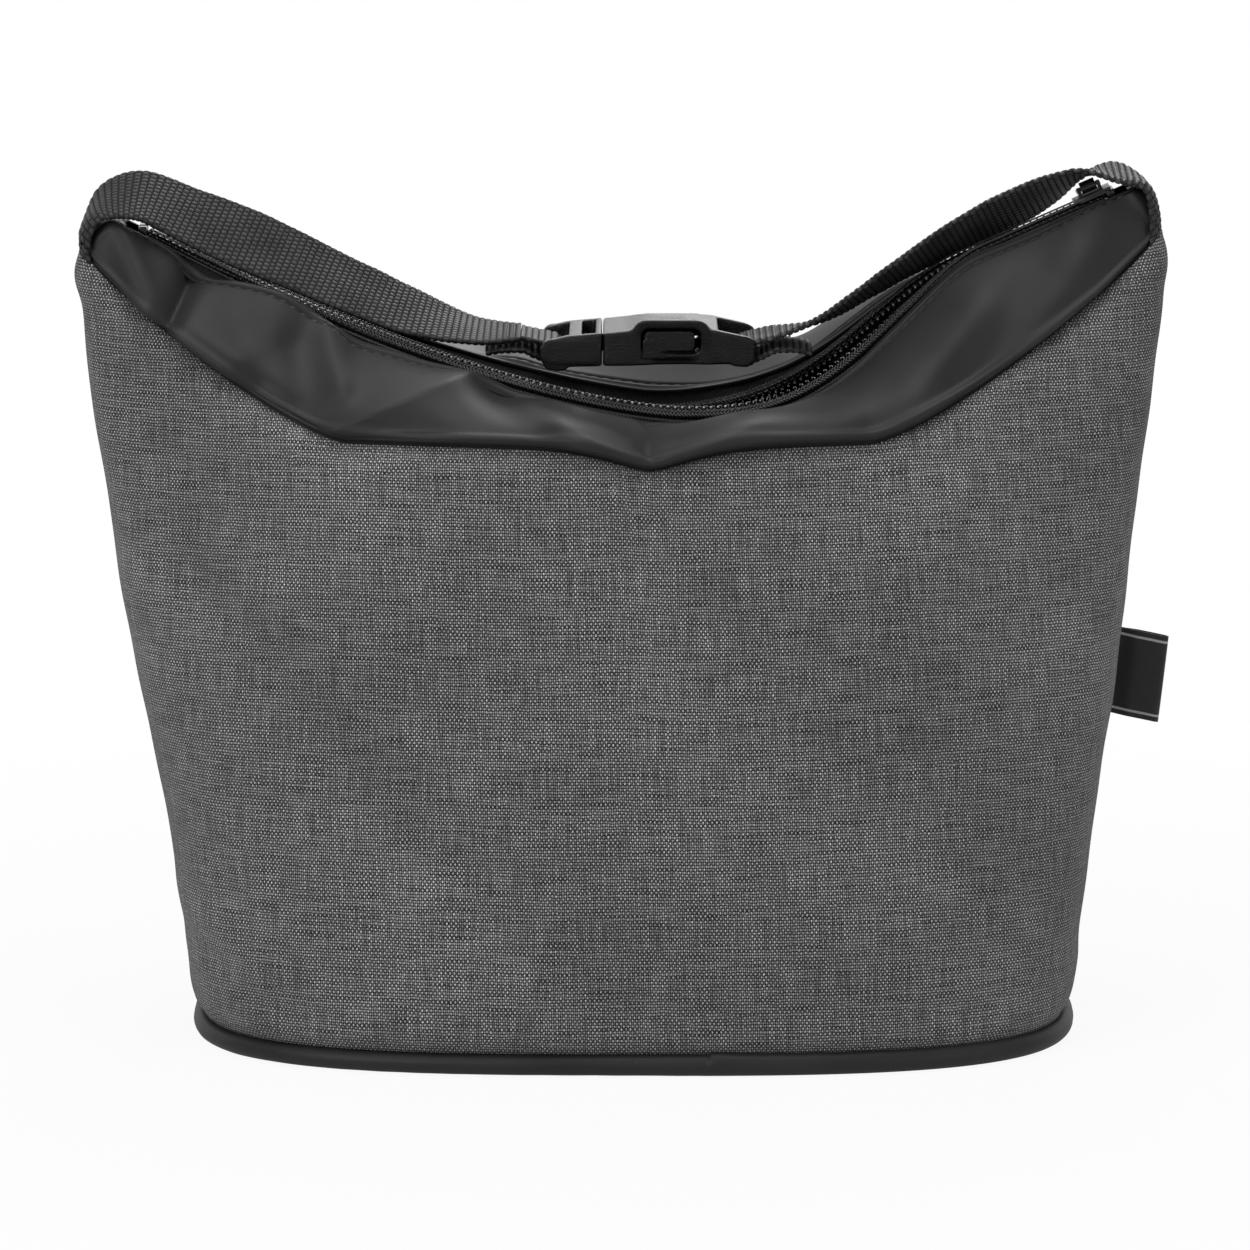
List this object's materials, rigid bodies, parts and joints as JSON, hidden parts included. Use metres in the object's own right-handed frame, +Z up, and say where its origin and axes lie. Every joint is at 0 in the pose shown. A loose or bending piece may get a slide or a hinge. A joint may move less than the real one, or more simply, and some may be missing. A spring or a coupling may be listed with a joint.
{
  "type": "lunch bag",
  "caption": "Soft insulated lunch bag with a piped oval base, woven walls, coated yokes, a sagging zipped mouth between two ears and a webbing handle that clips together over it.",
  "frame": {"origin": "middle of the base panel's underside, where the bag stands", "axes": "+X towards the right ear, where the zip closes; +Y towards the back; +Z up"},
  "size_m": [0.2509, 0.1238, 0.199],
  "materials": {
    "woven_grey": "heather woven polyester, matte",
    "coated_black": "coated polyester, satin",
    "foam_white": "closed-cell foam, matte",
    "foil_silver": "foil lining, satin",
    "board_grey": "stiffener board, matte",
    "binding_black": "woven tape, matte",
    "zip_tape_black": "zip tape, matte",
    "coil_black": "nylon coil, satin",
    "slider_black": "black enamel, satin",
    "webbing_black": "ribbed polypropylene webbing",
    "buckle_black": "moulded acetal, fine satin texture",
    "label_black": "woven ribbon, matte"
  },
  "bodies": {
    "bag": {"front_panel": "woven_grey", "back_panel": "woven_grey", "front_yoke": "coated_black", "back_yoke": "coated_black", "front_foam": "foam_white", "back_foam": "foam_white", "front_lining": "foil_silver", "back_lining": "foil_silver", "front_yoke_lining": "foil_silver", "back_yoke_lining": "foil_silver", "base_panel": "coated_black", "base_piping": "coated_black", "base_foam": "foam_white", "base_board": "board_grey", "base_lining": "foil_silver", "base_seam_binding": "binding_black", "side_seam_bindings": "binding_black", "front_zip_tape": "zip_tape_black", "back_zip_tape": "zip_tape_black", "front_zip_coil": "coil_black", "back_zip_coil": "coil_black", "zip_stops": "coil_black", "strap_left_root": "webbing_black", "strap_right_root": "webbing_black", "side_label": "label_black"},
    "zip_slider": {"zip_slider": "slider_black"},
    "zip_pull": {"zip_pull": "slider_black"},
    "handle": {"strap_left_run": "webbing_black", "strap_right_run": "webbing_black", "strap_right_loop": "webbing_black", "buckle_socket": "buckle_black"},
    "plug": {"buckle_plug": "buckle_black", "strap_left_loop": "webbing_black"},
    "arm_front": {"plug_arm_front": "buckle_black"},
    "arm_back": {"plug_arm_back": "buckle_black"}
  },
  "joints": [
    {"name": "handle_swing", "type": "hinge", "parent": "bag", "child": "handle", "pos_m": [-0.1273, 0, 0.181], "axis": [0.9999, 0, 0.0161], "range_deg": [-52, 52], "deforming": ["strap_left_root", "strap_right_root"]},
    {"name": "buckle_release", "type": "slide", "parent": "handle", "child": "plug", "axis": [-1, 0, 0], "range_m": [0, 0.0075], "deforming": ["strap_left_run", "plug_arm_front", "plug_arm_back"]},
    {"name": "arm_front_squeeze", "type": "hinge", "parent": "plug", "child": "arm_front", "pos_m": [-0.0058, -0.01, 0.158], "axis": [0, 0, 1], "range_deg": [0, 6], "stiffness_Nm_per_rad": 0.05},
    {"name": "arm_back_squeeze", "type": "hinge", "parent": "plug", "child": "arm_back", "pos_m": [-0.0058, 0.01, 0.158], "axis": [0, 0, -1], "range_deg": [0, 6], "stiffness_Nm_per_rad": 0.05},
    {"name": "zip_slider_slide", "type": "slide", "parent": "bag", "child": "zip_slider", "axis": [-0.9153, 0, -0.4027], "range_m": [0, 0.018]},
    {"name": "zip_pull_flip", "type": "hinge", "parent": "zip_slider", "child": "zip_pull", "pos_m": [0.10363, 0, 0.19389], "axis": [0.9153, 0, 0.4027], "range_deg": [0, 150]}
  ],
  "couplings": [
    {"joint": "arm_back_squeeze", "follows": "arm_front_squeeze", "ratio": 1}
  ]
}
